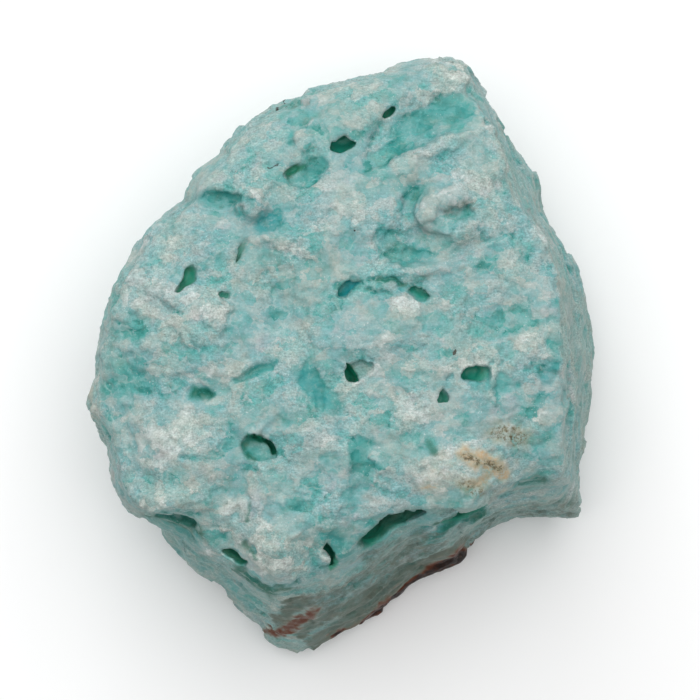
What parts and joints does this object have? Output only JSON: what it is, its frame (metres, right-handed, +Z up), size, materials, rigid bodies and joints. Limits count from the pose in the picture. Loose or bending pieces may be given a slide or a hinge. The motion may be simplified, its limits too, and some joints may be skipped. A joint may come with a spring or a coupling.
{
  "type": "raw blue aragonite chunk",
  "caption": "Rough chunk of banded blue aragonite with a pitted broken face, open pores and stepped sides; lies flat as a display, reference or decoration stone.",
  "frame": {"origin": "middle of the bottom of the bounding box, on the surface that the chunk lies on", "axes": "+Z up, out of the broad broken face; +Y along the chunk to its blunt point; +X to its straight side"},
  "size_m": [0.0674, 0.0798, 0.0373],
  "materials": {
    "blue_aragonite": "broken natural surface, waxy to dull, sea blue to cream with iron stains along the bottom edge"
  },
  "bodies": {
    "root": {"raw_blue_aragonite": "blue_aragonite"}
  },
  "joints": []
}
